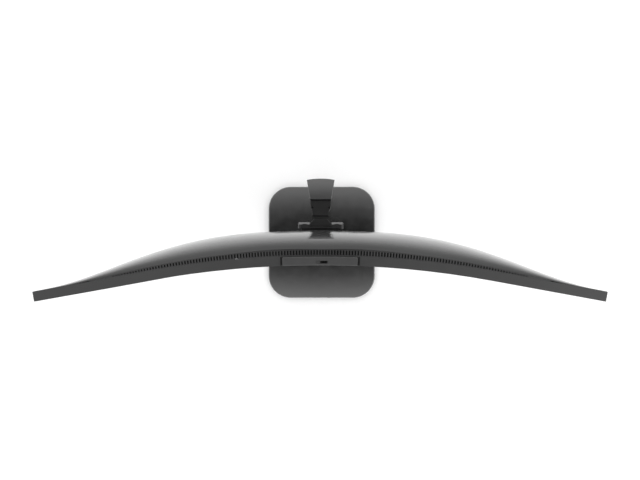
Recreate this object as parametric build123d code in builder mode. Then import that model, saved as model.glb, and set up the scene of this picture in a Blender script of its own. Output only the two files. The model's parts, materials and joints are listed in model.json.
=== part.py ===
from build123d import *

import os
from math import asin, copysign, cos, sin

# Curved ultra-wide computer monitor on a height-adjustable stand, in millimetres.
# +Z is up, the screen faces -Y, and the origin is on the desk under the middle of the base.
# It stands with its head level, straight ahead and raised to the top of its travel.

# ---------------------------------------------------------------- driving dimensions
FRONT_Y = -38.0         # front face of the screen frame, at its middle
FRONT_RADIUS = 1344.0   # concave front face, over its middle stretch
ARC_X = 242.0           # the arc ends here and runs on as a straight wing
WING = 163.2            # length of a wing's front face
HEAD_LOW = 220.0
HEAD_HIGH = 583.0
TILT_Y = 24.0           # tilt axis
TILT_Z = 403.0          # its height, at the top of the travel
TRAVEL = 150.0          # of the lift, all of it downwards from here

BAND = 14.0             # depth of the screen frame
WALL = 2.2              # moulded walls of the head
BULGE = 39.0            # how far the rear cover swells behind its two ends
END_DEPTH = 15.0        # head depth at its two ends
VENT_DEPTH = 8.0        # of the vent channel at the middle, narrowing to nothing at its ends
VENT_HALF = 345.0       # half length of the channel along the curve
STRIP_HALF = 325.0      # half length of the slotted strip in it
SLOT_PITCH = 4.1
SLOT_WIDTH = 2.3

PAD_Y = 13.0            # flat mounting pad on the back of the cover
PAD_HALF = 62.0
VESA_HALF = 50.0        # half the 100 mm square bolt pattern
VESA_THREAD_R = 2.0     # M4

BAY_HALF = 130.0        # port bay
BAY_BACK_Y = -14.0
BAY_CEILING_Z = 302.0
TRAY_WALL = 2.0
BELOW_HEAD_Z = 200.0    # cutting bodies reach to here
BEHIND_HEAD_Y = 40.0

BASE_X = 226.0
BASE_Y = 237.0
BASE_CORNER = 47.0
BASE_TOP = 14.0         # of the crown over the origin
CROWN_R = 1358.0        # the top falls away to front and back
FOOT_HEIGHT = 2.2
SWIVEL_Y = 81.0         # the column turns about this point of the base

COLUMN_FRONT_Y = 65.0
COLUMN_REAR_Y = 96.6
COLUMN_APEX_Y = 98.7
COLUMN_FRONT_HALF = 17.0
COLUMN_REAR_HALF = 22.5
COLUMN_WALL = 2.5
COLUMN_TOP = 417.0
CAP_TOP = 424.5
CAP_CREST_Y = 33.0      # the cap's top is round about a line below this one
CAP_ROUND_R = 690.0
COLUMN_BOTTOM = 13.4
SLOT_HALF = 9.6         # slot in the column that the arm's neck runs in

PLATE_HALF = 36.5       # quick-release plate
PLATE_DOWN = 42.0       # below the tilt axis
PLATE_UP = 15.0         # above it
PLATE_FRONT_Y = 18.5
PLATE_REAR_Y = 28.0
KNUCKLE_R = 6.0
PIN_R = 2.5
RUNNING = 0.05          # radial clearance of a shaft that turns in its hole

CAM_HALF = 52.0         # webcam block on the top edge
CAM_FRONT = 0.4
CAM_BACK = 12.0
CAM_TOP = 599.0
CAM_Z = 591.0
SHUTTER_TRAVEL = 10.0

BUTTON_PITCH = 17.0
BUTTON_FIRST = 302.0
BUTTON_COUNT = 5

# ---------------------------------------------------------------- worked-out dimensions
ARC_ANGLE = asin(ARC_X / FRONT_RADIUS)
ARC_HALF = FRONT_RADIUS * ARC_ANGLE
HALF = ARC_HALF + WING  # from the middle to an end, along the front face


def plan_point(along, depth):
    """Plan position of a point that far along the front face and that far behind it."""
    turn = min(abs(along), ARC_HALF) / FRONT_RADIUS
    straight = max(abs(along) - ARC_HALF, 0.0)
    radius = FRONT_RADIUS + depth
    x = radius * sin(turn) + straight * cos(turn)
    y = FRONT_Y - FRONT_RADIUS + radius * cos(turn) - straight * sin(turn)
    return (copysign(x, along), y)


def station(along):
    """Plane across the head: local x runs backwards, local y up, local z along the curve."""
    turn = copysign(min(abs(along), ARC_HALF) / FRONT_RADIUS, along)
    x, y = plan_point(along, 0)
    return Plane(origin=(x, y, 0), x_dir=(sin(turn), cos(turn), 0), z_dir=(cos(turn), -sin(turn), 0))


def screen_bar(front, back, half, low, high, mode=Mode.ADD):
    """A bar that follows the curve of the screen, between two depths and two heights."""
    with BuildSketch(Plane.XY.offset(low)) as outline:
        with BuildLine():
            for depth in (front, back):
                ThreePointArc(
                    plan_point(-min(half, ARC_HALF), depth),
                    plan_point(0, depth),
                    plan_point(min(half, ARC_HALF), depth),
                )
                if half > ARC_HALF:
                    Line(plan_point(-ARC_HALF, depth), plan_point(-half, depth))
                    Line(plan_point(ARC_HALF, depth), plan_point(half, depth))
            Line(plan_point(-half, front), plan_point(-half, back))
            Line(plan_point(half, front), plan_point(half, back))
        make_face()
    extrude(outline.sketch, amount=high - low, mode=mode)


def block(low, high, mode=Mode.ADD):
    """A box between two opposite corners."""
    with Locations(low):
        Box(
            high[0] - low[0],
            high[1] - low[1],
            high[2] - low[2],
            align=(Align.MIN, Align.MIN, Align.MIN),
            mode=mode,
        )


def rod(start, direction, radius, length, mode=Mode.ADD):
    """A round bar from a point, along a direction."""
    with Locations(Plane(origin=start, z_dir=direction)):
        Cylinder(radius, length, align=(Align.CENTER, Align.CENTER, Align.MIN), mode=mode)


def station_block(along, length, depths, heights, mode=Mode.ADD):
    """A box set square to the screen's curve at one station."""
    with Locations(station(along)):
        with Locations((sum(depths) / 2, sum(heights) / 2, 0)):
            Box(depths[1] - depths[0], heights[1] - heights[0], length, mode=mode)


os.makedirs("parts", exist_ok=True)

# ---------------------------------------------------------------- screen
# Frame round the screen, open to the front, with five button holes in its lower wall.
BUTTONS = [BUTTON_FIRST + BUTTON_PITCH * i for i in range(BUTTON_COUNT)]
BUTTON_LENGTH = 9.0
BUTTON_DEPTHS = (5.2, 9.2)
HOLE_GAP = 0.3

with BuildPart() as front_frame:
    screen_bar(0, BAND, HALF, HEAD_LOW, HEAD_HIGH)
    fillet(front_frame.edges().filter_by(Axis.Z).group_by(Axis.Y)[0], 1.2)
    screen_bar(-1, BAND + 1, HALF - WALL, HEAD_LOW + WALL, HEAD_HIGH - WALL, Mode.SUBTRACT)
    for along in BUTTONS:
        station_block(
            along,
            BUTTON_LENGTH + 2 * HOLE_GAP,
            (BUTTON_DEPTHS[0] - HOLE_GAP, BUTTON_DEPTHS[1] + HOLE_GAP),
            (HEAD_LOW - 1, HEAD_LOW + WALL + 1),
            Mode.SUBTRACT,
        )
front_frame.part.label = "front_frame"
export_step(front_frame.part, "parts/front_frame.step")

# Strip below the screen, with the hole of the power light.
LIGHT_ALONG = 374.0
LIGHT_HEIGHTS = (229.0, 231.0)
LIGHT_LENGTH = 7.0
CHIN_TOP = 240.0
GAP = 0.3

with BuildPart() as chin_trim:
    screen_bar(0.2, 3.4, HALF - WALL - GAP, HEAD_LOW + WALL + GAP, CHIN_TOP)
    station_block(LIGHT_ALONG, LIGHT_LENGTH, (0, 4), LIGHT_HEIGHTS, Mode.SUBTRACT)
chin_trim.part.label = "chin_trim"
export_step(chin_trim.part, "parts/chin_trim.step")

with BuildPart() as power_led_window:
    window_heights = (LIGHT_HEIGHTS[0] + 0.1, LIGHT_HEIGHTS[1] - 0.1)
    station_block(LIGHT_ALONG, LIGHT_LENGTH - 0.2, (0.4, 5), window_heights)
power_led_window.part.label = "power_led_window"
export_step(power_led_window.part, "parts/power_led_window.step")

# Curved layers from front to back: glass, films, light guide with its LED bar, metal pan.
with BuildPart() as lcd_glass:
    screen_bar(0.6, 2.4, HALF - WALL - GAP, CHIN_TOP + GAP, HEAD_HIGH - WALL - GAP)
lcd_glass.part.label = "lcd_glass"
export_step(lcd_glass.part, "parts/lcd_glass.step")

with BuildPart() as optical_sheets:
    screen_bar(2.5, 3.4, HALF - 7, CHIN_TOP + 3, HEAD_HIGH - 6)
optical_sheets.part.label = "optical_sheets"
export_step(optical_sheets.part, "parts/optical_sheets.step")

with BuildPart() as light_guide:
    screen_bar(3.6, 6.8, HALF - 7, CHIN_TOP + 3, HEAD_HIGH - 6)
light_guide.part.label = "light_guide"
export_step(light_guide.part, "parts/light_guide.step")

with BuildPart() as led_bar:
    screen_bar(3.7, 6.6, HALF - 20, CHIN_TOP - 2, CHIN_TOP + 2.8)
led_bar.part.label = "led_bar"
export_step(led_bar.part, "parts/led_bar.step")

with BuildPart() as backlight_chassis:
    screen_bar(7.2, 8.4, HALF - 5, CHIN_TOP - 4, HEAD_HIGH - 3.4)
    screen_bar(3.8, 8.4, HALF - 5, HEAD_HIGH - 4.6, HEAD_HIGH - 3.4)
    screen_bar(3.8, 8.4, HALF - 5, CHIN_TOP - 4, CHIN_TOP - 2.8)
backlight_chassis.part.label = "backlight_chassis"
export_step(backlight_chassis.part, "parts/backlight_chassis.step")

# ---------------------------------------------------------------- rear cover
COVER_HALF = HALF - 0.2
INNER_HALF = HALF - 14.0
COVER_LOW = HEAD_LOW + 0.4
COVER_HIGH = HEAD_HIGH - 0.4
LOWER_SHELF = 2.6
COVER_INSET = 2.6       # thickness of the cover's wall
STATIONS = (0.0, 0.3, 0.55, 0.74, 0.86, 0.94, 1.0)


def rear_depth(along):
    """Depth of the head behind its front face, at the height where it is deepest."""
    return END_DEPTH + BULGE * (1 - (abs(along) / HALF) ** 4) ** 2


def vent_depth(along):
    """Depth behind the front face where the vent channel ends and the cover starts to fall away."""
    return BAND + 0.4 + VENT_DEPTH * max(0.0, 1 - (abs(along) / VENT_HALF) ** 2.4)


def lower_depth(along):
    """Depth where the cover starts to rise away from its bottom edge."""
    return BAND + 0.4 + LOWER_SHELF * (1 - (abs(along) / HALF) ** 12)


def vent_bar(front, gap, half, low, high, mode=Mode.ADD):
    """A bar that fills the vent channel up to a gap from its rear edge."""
    with BuildSketch(Plane.XY.offset(low)) as outline:
        with BuildLine():
            reach = min(half, ARC_HALF)
            ThreePointArc(plan_point(-reach, front), plan_point(0, front), plan_point(reach, front))
            Line(plan_point(-reach, front), plan_point(-half, front))
            Line(plan_point(reach, front), plan_point(half, front))
            rear = [half * i / 8 for i in range(-8, 9)]
            Spline([plan_point(along, vent_depth(along) - gap) for along in rear])
            Line(plan_point(-half, front), plan_point(-half, vent_depth(half) - gap))
            Line(plan_point(half, front), plan_point(half, vent_depth(half) - gap))
        make_face()
    extrude(outline.sketch, amount=high - low, mode=mode)


def cover_section(along, inset, front):
    """Outline of the cover at one station: a flat front, two short shelves and a swollen back."""
    deepest = rear_depth(along) - inset
    top = COVER_HIGH - inset
    bottom = COVER_LOW + inset
    upper = min(vent_depth(along), deepest - 0.5)
    lower = min(lower_depth(along), deepest - 0.5)
    with BuildSketch(station(along)) as section:
        with BuildLine():
            Line((front, bottom), (front, top))
            Line((front, top), (upper, top))
            EllipticalCenterArc((upper, TILT_Z), deepest - upper, top - TILT_Z, 0, arc_size=90)
            Line((deepest, TILT_Z), (deepest, TILT_Z - 0.5))
            EllipticalCenterArc(
                (lower, TILT_Z - 0.5), deepest - lower, TILT_Z - 0.5 - bottom, -90, arc_size=90
            )
            Line((lower, bottom), (front, bottom))
        make_face()
    return section.sketch


def swollen_body(half, inset, front):
    """The cover's outer body, or the space inside it."""
    stations = [-half * s for s in reversed(STATIONS[1:])] + [half * s for s in STATIONS]
    with BuildPart() as body:
        loft([cover_section(along, inset, front) for along in stations])
    return body.part


outer_body = swollen_body(COVER_HALF, 0.0, BAND + 0.05)
inner_body = swollen_body(INNER_HALF, COVER_INSET, BAND - 2)

SCREW_AT = 56.0         # cover screws, beside the pad's pattern
SCREW_Z = 30.0
SCREW_HEAD_R = 3.2
SCREW_HOLE_R = 1.7
PAD_INNER_Y = 9.0
BOSS_R = 5.0
CHANNEL_LOW = COVER_HIGH - 3.4

SPEAKER_ALONG = 205.0
GRILLE_COUNT = 15
GRILLE_PITCH = 5.4
GRILLE_WIDTH = 1.8
GRILLE_DEPTHS = (26.0, 70.0)
GRILLE_HEIGHTS = (246.0, 266.0)

with BuildPart() as rear_cover:
    add(outer_body)
    add(inner_body, mode=Mode.SUBTRACT)
    screen_bar(BAND - 9, BAND + 0.05, HALF + 2, HEAD_LOW - 1, HEAD_HIGH + 1, Mode.SUBTRACT)
    block((-PAD_HALF, PAD_INNER_Y, TILT_Z - PAD_HALF), (PAD_HALF, PAD_Y, TILT_Z + PAD_HALF))
    block((-PAD_HALF, PAD_Y, TILT_Z - PAD_HALF), (PAD_HALF, PAD_Y + 20, TILT_Z + PAD_HALF), Mode.SUBTRACT)
    for x in (-VESA_HALF, VESA_HALF):
        for z in (TILT_Z - VESA_HALF, TILT_Z + VESA_HALF):
            rod((x, PAD_INNER_Y - 1, z), (0, 1, 0), BOSS_R + 0.3, 10, Mode.SUBTRACT)
    for x in (-SCREW_AT, SCREW_AT):
        for z in (TILT_Z - SCREW_Z, TILT_Z + SCREW_Z):
            rod((x, PAD_INNER_Y - 1, z), (0, 1, 0), SCREW_HOLE_R, 10, Mode.SUBTRACT)
            rod((x, PAD_Y - 2, z), (0, 1, 0), SCREW_HEAD_R + 0.2, 10, Mode.SUBTRACT)
    block(
        (-BAY_HALF, BAY_BACK_Y - TRAY_WALL, BELOW_HEAD_Z),
        (BAY_HALF, BEHIND_HEAD_Y, BAY_CEILING_Z + TRAY_WALL),
        Mode.SUBTRACT,
    )
    vent_bar(BAND - 1, 0.2, VENT_HALF, CHANNEL_LOW, HEAD_HIGH + 5, Mode.SUBTRACT)
    for side in (-1, 1):
        for i in range(GRILLE_COUNT):
            slot_along = side * SPEAKER_ALONG + (i - GRILLE_COUNT // 2) * GRILLE_PITCH
            station_block(slot_along, GRILLE_WIDTH, GRILLE_DEPTHS, GRILLE_HEIGHTS, Mode.SUBTRACT)
rear_cover.part.label = "rear_cover"
export_step(rear_cover.part, "parts/rear_cover.step")

# Slotted strip along the top, between the frame and the cover. The slots shorten to both ends.
STRIP_FRONT = BAND + 0.1
STRIP_HEIGHTS = (CHANNEL_LOW + 0.2, COVER_HIGH - 0.6)
SLOT_MARGIN = 0.7
SLOT_SHORTEST = 1.0

with BuildPart() as vent_strip:
    vent_bar(STRIP_FRONT, 0.4, STRIP_HALF, *STRIP_HEIGHTS)
    slots = []
    for i in range(-int(STRIP_HALF / SLOT_PITCH), int(STRIP_HALF / SLOT_PITCH) + 1):
        slot_along = i * SLOT_PITCH
        slot_rear = vent_depth(slot_along) - 0.4 - SLOT_MARGIN
        slot_length = slot_rear - STRIP_FRONT - SLOT_MARGIN
        if slot_length < SLOT_SHORTEST:
            continue
        with Locations(station(slot_along)):
            with Locations((slot_rear - slot_length / 2, sum(STRIP_HEIGHTS) / 2, 0)):
                slots.append(Box(slot_length, 8, SLOT_WIDTH, mode=Mode.PRIVATE))
    add(slots, mode=Mode.SUBTRACT)
vent_strip.part.label = "vent_strip"
export_step(vent_strip.part, "parts/vent_strip.step")

with BuildPart() as cover_screws:
    for x in (-SCREW_AT, SCREW_AT):
        for z in (TILT_Z - SCREW_Z, TILT_Z + SCREW_Z):
            rod((x, PAD_Y - 2, z), (0, 1, 0), SCREW_HEAD_R, 1.8)
            rod((x, 3, z), (0, 1, 0), SCREW_HOLE_R - 0.2, 8)
cover_screws.part.label = "cover_screws"
export_step(cover_screws.part, "parts/cover_screws.step")

# Steel channel behind the pad, with four threaded bosses that come flush with it.
CHANNEL_FACE_Y = PAD_INNER_Y - 0.2
CHANNEL_FRONT_Y = -5.8
CHANNEL_HALF = 60.0
CHANNEL_Z = (TILT_Z - 58.0, TILT_Z + 58.0)
SHEET = 2.0
with BuildPart() as vesa_plate:
    block((-CHANNEL_HALF, CHANNEL_FRONT_Y, CHANNEL_Z[0]), (CHANNEL_HALF, CHANNEL_FACE_Y, CHANNEL_Z[1]))
    block(
        (-CHANNEL_HALF + SHEET, CHANNEL_FRONT_Y - 1, CHANNEL_Z[0] - 1),
        (CHANNEL_HALF - SHEET, CHANNEL_FACE_Y - SHEET, CHANNEL_Z[1] + 1),
        Mode.SUBTRACT,
    )
    for x in (-SCREW_AT, SCREW_AT):
        for z in (TILT_Z - SCREW_Z, TILT_Z + SCREW_Z):
            rod((x, 0, z), (0, 1, 0), SCREW_HOLE_R + 0.1, 20, Mode.SUBTRACT)
    for x in (-VESA_HALF, VESA_HALF):
        for z in (TILT_Z - VESA_HALF, TILT_Z + VESA_HALF):
            rod((x, CHANNEL_FACE_Y - SHEET, z), (0, 1, 0), BOSS_R, PAD_Y - CHANNEL_FACE_Y + SHEET)
            rod((x, 0, z), (0, 1, 0), VESA_THREAD_R, 20, Mode.SUBTRACT)
vesa_plate.part.label = "vesa_plate"
export_step(vesa_plate.part, "parts/vesa_plate.step")

# ---------------------------------------------------------------- electronics
CAN_HALF = 152.0
CAN_Y = (-29.0, -6.0)
CAN_Z = (318.0, 482.0)
CAN_SHEET = 1.0
with BuildPart() as shield_can:
    block((-CAN_HALF, CAN_Y[0], CAN_Z[0]), (CAN_HALF, CAN_Y[1], CAN_Z[1]))
    block(
        (-CAN_HALF + CAN_SHEET, CAN_Y[0] - 1, CAN_Z[0] + CAN_SHEET),
        (CAN_HALF - CAN_SHEET, CAN_Y[1] - CAN_SHEET, CAN_Z[1] - CAN_SHEET),
        Mode.SUBTRACT,
    )
shield_can.part.label = "shield_can"
export_step(shield_can.part, "parts/shield_can.step")

BOARD_Y = (-25.0, -23.4)
BOARD_X = (8.0, 146.0)  # from the middle, on either side
BOARD_Z = (324.0, 474.0)


def component(low, high, height):
    """A block on the back of a circuit board, between two (x, z) corners."""
    block((low[0], BOARD_Y[1], low[1]), (high[0], BOARD_Y[1] + height, high[1]))


with BuildPart() as mainboard:
    block((-BOARD_X[1], BOARD_Y[0], BOARD_Z[0]), (-BOARD_X[0], BOARD_Y[1], BOARD_Z[1]))
    component((-100, 400), (-66, 434), 3)
    component((-50, 350), (-34, 370), 2)
    component((-136, 440), (-112, 452), 7)
mainboard.part.label = "mainboard"
export_step(mainboard.part, "parts/mainboard.step")

CAPACITOR_R = 9.0
with BuildPart() as power_board:
    block((BOARD_X[0], BOARD_Y[0], BOARD_Z[0]), (BOARD_X[1], BOARD_Y[1], BOARD_Z[1]))
    component((60, 380), (96, 416), 14)
    component((20, 340), (50, 346), 12)
    for z in (350, 374, 398):
        rod((124, BOARD_Y[1], z), (0, 1, 0), CAPACITOR_R, 14)
power_board.part.label = "power_board"
export_step(power_board.part, "parts/power_board.step")

TIMING_HALF = 110.0
TIMING_Y = (-27.0, -25.6)
with BuildPart() as timing_board:
    block((-TIMING_HALF, TIMING_Y[0], 492), (TIMING_HALF, TIMING_Y[1], 524))
    block((-14, TIMING_Y[1], 500), (6, TIMING_Y[1] + 1.6, 516))
timing_board.part.label = "timing_board"
export_step(timing_board.part, "parts/timing_board.step")

SPEAKER_LENGTH = 96.0
SPEAKER_DEPTHS = (10.0, 24.0)
SPEAKER_HEIGHTS = (240.0, 276.0)
with BuildPart() as speaker_left:
    station_block(-SPEAKER_ALONG, SPEAKER_LENGTH, SPEAKER_DEPTHS, SPEAKER_HEIGHTS)
speaker_left.part.label = "speaker_left"
export_step(speaker_left.part, "parts/speaker_left.step")

with BuildPart() as speaker_right:
    station_block(SPEAKER_ALONG, SPEAKER_LENGTH, SPEAKER_DEPTHS, SPEAKER_HEIGHTS)
speaker_right.part.label = "speaker_right"
export_step(speaker_right.part, "parts/speaker_right.step")

# ---------------------------------------------------------------- port bay
# Each socket: name, middle in X, width, depth, and the same for the tongue inside it.
SOCKET_Y = -4.0
SOCKETS = {
    "hdmi_ports": [(-104, 15.0, 5.6), (-82, 15.0, 5.6)],
    "displayport": [(-60, 16.4, 5.8)],
    "usb_c_port": [(-40, 9.6, 3.6)],
    "usb_a_ports": [(-22, 13.4, 6.6), (-4, 13.4, 6.6)],
    "network_port": [(18, 15.6, 13.0)],
}
SOCKET_WALL = 0.6
TONGUE_SHARE = 0.3      # of the space inside a socket
SOCKET_DEPTH = 12.0
SOCKET_TOP = 315.0
SOCKET_MOUTH = BAY_CEILING_Z - 0.5
JACK_X = 38.0
JACK_R = 3.6
JACK_BORE_R = 1.75
INLET_X = 92.0
INLET = (30.0, 14.0)


def socket_box(x, width, depth, low, high, mode):
    """A box round a socket's middle."""
    block((x - width / 2, SOCKET_Y - depth / 2, low), (x + width / 2, SOCKET_Y + depth / 2, high), mode)


with BuildPart() as port_bay:
    block(
        (-BAY_HALF + 0.2, BAY_BACK_Y - TRAY_WALL + 0.2, BELOW_HEAD_Z),
        (BAY_HALF - 0.2, BEHIND_HEAD_Y, BAY_CEILING_Z + TRAY_WALL - 0.2),
    )
    block(
        (-BAY_HALF + TRAY_WALL, BAY_BACK_Y, BELOW_HEAD_Z - 1),
        (BAY_HALF - TRAY_WALL, BEHIND_HEAD_Y + 1, BAY_CEILING_Z),
        Mode.SUBTRACT,
    )
    add(outer_body, mode=Mode.INTERSECT)
    for sockets in SOCKETS.values():
        for x, width, depth in sockets:
            socket_box(x, width + 0.3, depth + 0.3, BAY_CEILING_Z - 1, BAY_CEILING_Z + 5, Mode.SUBTRACT)
    rod((JACK_X, SOCKET_Y, BAY_CEILING_Z - 1), (0, 0, 1), JACK_R + 0.15, 5, Mode.SUBTRACT)
    socket_box(INLET_X, INLET[0] + 0.3, INLET[1] + 0.3, BAY_CEILING_Z - 1, BAY_CEILING_Z + 5, Mode.SUBTRACT)
port_bay.part.label = "port_bay"
export_step(port_bay.part, "parts/port_bay.step")

for name, sockets in SOCKETS.items():
    with BuildPart() as socket:
        for x, width, depth in sockets:
            socket_box(x, width, depth, SOCKET_MOUTH, SOCKET_TOP, Mode.ADD)
            inner_width = width - 2 * SOCKET_WALL
            inner_depth = depth - 2 * SOCKET_WALL
            floor = SOCKET_MOUTH + SOCKET_DEPTH
            socket_box(x, inner_width, inner_depth, SOCKET_MOUTH - 1, floor, Mode.SUBTRACT)
            if name != "network_port":
                socket_box(x, inner_width - 2.4, TONGUE_SHARE * inner_depth, SOCKET_MOUTH + 1, floor, Mode.ADD)
    socket.part.label = name
    export_step(socket.part, f"parts/{name}.step")

with BuildPart() as audio_jack:
    rod((JACK_X, SOCKET_Y, SOCKET_MOUTH), (0, 0, 1), JACK_R, 13)
    rod((JACK_X, SOCKET_Y, SOCKET_MOUTH - 1), (0, 0, 1), JACK_BORE_R, SOCKET_DEPTH, Mode.SUBTRACT)
audio_jack.part.label = "audio_jack"
export_step(audio_jack.part, "parts/audio_jack.step")

INLET_WALL = 2.0
PIN_PITCH = 7.0
with BuildPart() as power_inlet:
    socket_box(INLET_X, *INLET, SOCKET_MOUTH, SOCKET_TOP + 2, Mode.ADD)
    hollow = (INLET[0] - 2 * INLET_WALL, INLET[1] - 2 * INLET_WALL)
    socket_box(INLET_X, *hollow, SOCKET_MOUTH - 1, SOCKET_TOP - 1, Mode.SUBTRACT)
    for x in (-PIN_PITCH, 0, PIN_PITCH):
        block((INLET_X + x - 1, SOCKET_Y - 4.2, SOCKET_MOUTH + 3.5), (INLET_X + x + 1, SOCKET_Y - 0.4, SOCKET_TOP))
power_inlet.part.label = "power_inlet"
export_step(power_inlet.part, "parts/power_inlet.step")

# ---------------------------------------------------------------- control buttons
OSD_Z = (226.4, 228.0)
with BuildPart() as osd_board:
    station_block((BUTTONS[0] + BUTTONS[-1]) / 2, 4 * BUTTON_PITCH + 14, (4.4, 10.6), OSD_Z)
osd_board.part.label = "osd_board"
export_step(osd_board.part, "parts/osd_board.step")

for number, along in enumerate(BUTTONS, start=1):
    with BuildPart() as button:
        station_block(along, BUTTON_LENGTH, BUTTON_DEPTHS, (HEAD_LOW - 1.4, HEAD_LOW + WALL + 0.2))
        station_block(
            along,
            BUTTON_LENGTH + 2.4,
            (BUTTON_DEPTHS[0] - 1, BUTTON_DEPTHS[1] + 1),
            (HEAD_LOW + WALL + 0.1, HEAD_LOW + WALL + 1.1),
        )
        station_block(along, 3, (BUTTON_DEPTHS[0] + 1, BUTTON_DEPTHS[1] - 1), (HEAD_LOW + WALL + 1, OSD_Z[0] - 1))
    button.part.label = f"button_{number}"
    export_step(button.part, f"parts/button_{number}.step")

# ---------------------------------------------------------------- webcam
TAB_X = -2.4            # middle of the slider's thumb tab, with the lens uncovered
TAB_HALF = 2.6
TAB_Y = (-34.9, -31.9)
CAM_LOW = HEAD_HIGH + 0.05
BLADE_Y = (-36.3, -35.7)

with BuildPart() as webcam_housing:
    screen_bar(CAM_FRONT, CAM_BACK, CAM_HALF, CAM_LOW, CAM_TOP)
    fillet(webcam_housing.edges().filter_by(Axis.Z), 1.2)
    fillet(webcam_housing.faces().sort_by(Axis.Z)[-1].edges(), 0.6)
    screen_bar(CAM_FRONT + 1.4, CAM_BACK - 1.6, CAM_HALF - 1.8, CAM_LOW + 1.4, CAM_TOP - 1.8, Mode.SUBTRACT)
    screen_bar(CAM_FRONT - 1, CAM_FRONT + 3, CAM_HALF - 5, CAM_LOW + 2.4, CAM_TOP - 2.4, Mode.SUBTRACT)
    block(
        (TAB_X - TAB_HALF - 0.3, TAB_Y[0] - 0.3, CAM_TOP - 4),
        (TAB_X + TAB_HALF + SHUTTER_TRAVEL + 0.3, TAB_Y[1] + 0.3, CAM_TOP + 1),
        Mode.SUBTRACT,
    )
webcam_housing.part.label = "webcam_housing"
export_step(webcam_housing.part, "parts/webcam_housing.step")

with BuildPart() as webcam_window:
    screen_bar(CAM_FRONT + 0.1, CAM_FRONT + 1.2, CAM_HALF - 5.2, CAM_LOW + 2.6, CAM_TOP - 2.6)
webcam_window.part.label = "webcam_window"
export_step(webcam_window.part, "parts/webcam_window.step")

with BuildPart() as webcam_shutter:
    block((-15, BLADE_Y[0], CAM_Z - 4.6), (-5.4, BLADE_Y[1], CAM_TOP - 3.0))
    block((-15, BLADE_Y[0], CAM_TOP - 4.2), (TAB_X + TAB_HALF, BLADE_Y[1], CAM_TOP - 3.0))
    block((TAB_X - TAB_HALF, BLADE_Y[0], CAM_TOP - 4.2), (TAB_X + TAB_HALF, TAB_Y[1], CAM_TOP - 3.0))
    block((TAB_X - TAB_HALF, TAB_Y[0], CAM_TOP - 4.2), (TAB_X + TAB_HALF, TAB_Y[1], CAM_TOP + 0.5))
webcam_shutter.part.label = "webcam_shutter"
export_step(webcam_shutter.part, "parts/webcam_shutter.step")

with BuildPart() as webcam_lens_barrel:
    rod((0, -29.2, CAM_Z), (0, -1, 0), 3.7, 6.0)
    rod((0, -34.0, CAM_Z), (0, -1, 0), 2.9, 2.0, Mode.SUBTRACT)
webcam_lens_barrel.part.label = "webcam_lens_barrel"
export_step(webcam_lens_barrel.part, "parts/webcam_lens_barrel.step")

with BuildPart() as webcam_lens:
    rod((0, -34.0, CAM_Z), (0, -1, 0), 2.85, 0.9)
webcam_lens.part.label = "webcam_lens"
export_step(webcam_lens.part, "parts/webcam_lens.step")

with BuildPart() as webcam_board:
    block((-38, -29.2, CAM_LOW + 1.8), (38, -28.4, CAM_TOP - 2.4))
webcam_board.part.label = "webcam_board"
export_step(webcam_board.part, "parts/webcam_board.step")

# ---------------------------------------------------------------- quick-release plate
# The plate is notched for the arm's knuckle, with a bridge and a cap over the notch.
KNUCKLE_HALF = 13.2
NOTCH_HALF = 13.6
NOTCH_FRONT_Y = 17.6
NOTCH_LOW = TILT_Z - 9.0
ARM_FRONT_Y = TILT_Y + 15.0
CAP_HALF = 17.3
CAP_REAR_HALF = 10.5
CAP_Y = (22.8, 26.0, 33.0)
CAP_Z = (TILT_Z + 10.2, TILT_Z + 16.5)
SPIGOT_HALF = 30.0
SPIGOT_Z = (TILT_Z - 36.0, TILT_Z + 8.0)
BUTTON_HALF = 9.0
BUTTON_Y = (20.6, 26.0)
RELEASE_TRAVEL = 3.5
PLATE_LOW = TILT_Z - PLATE_DOWN
PLATE_TOP_Z = TILT_Z + PLATE_UP

with BuildPart() as mount_plate:
    block((-PLATE_HALF, PLATE_FRONT_Y, PLATE_LOW), (PLATE_HALF, PLATE_REAR_Y, PLATE_TOP_Z))
    fillet(mount_plate.edges().filter_by(Axis.Y), 4)
    fillet(mount_plate.faces().sort_by(Axis.Y)[-1].edges(), 1.0)
    block((-SPIGOT_HALF, PAD_Y, SPIGOT_Z[0]), (SPIGOT_HALF, PLATE_FRONT_Y, SPIGOT_Z[1]))
    block((-NOTCH_HALF, NOTCH_FRONT_Y, NOTCH_LOW), (NOTCH_HALF, ARM_FRONT_Y, HEAD_HIGH), Mode.SUBTRACT)
    block((-NOTCH_HALF, PLATE_FRONT_Y, CAP_Z[0]), (NOTCH_HALF, CAP_Y[0], PLATE_TOP_Z))
    with BuildSketch(Plane.XY.offset(CAP_Z[0])) as cap_outline:
        Polygon(
            (-CAP_HALF, CAP_Y[0]),
            (-CAP_HALF, CAP_Y[1]),
            (-CAP_REAR_HALF, CAP_Y[2]),
            (CAP_REAR_HALF, CAP_Y[2]),
            (CAP_HALF, CAP_Y[1]),
            (CAP_HALF, CAP_Y[0]),
            align=None,
        )
    extrude(amount=CAP_Z[1] - CAP_Z[0])
    rod((-PLATE_HALF - 1, TILT_Y, TILT_Z), (1, 0, 0), PIN_R + RUNNING, 2 * PLATE_HALF + 2, Mode.SUBTRACT)
    block(
        (-BUTTON_HALF - HOLE_GAP, BUTTON_Y[0] - HOLE_GAP, PLATE_LOW - 1),
        (BUTTON_HALF + HOLE_GAP, BUTTON_Y[1] + HOLE_GAP, PLATE_LOW + 16),
        Mode.SUBTRACT,
    )
mount_plate.part.label = "mount_plate"
export_step(mount_plate.part, "parts/mount_plate.step")

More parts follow.
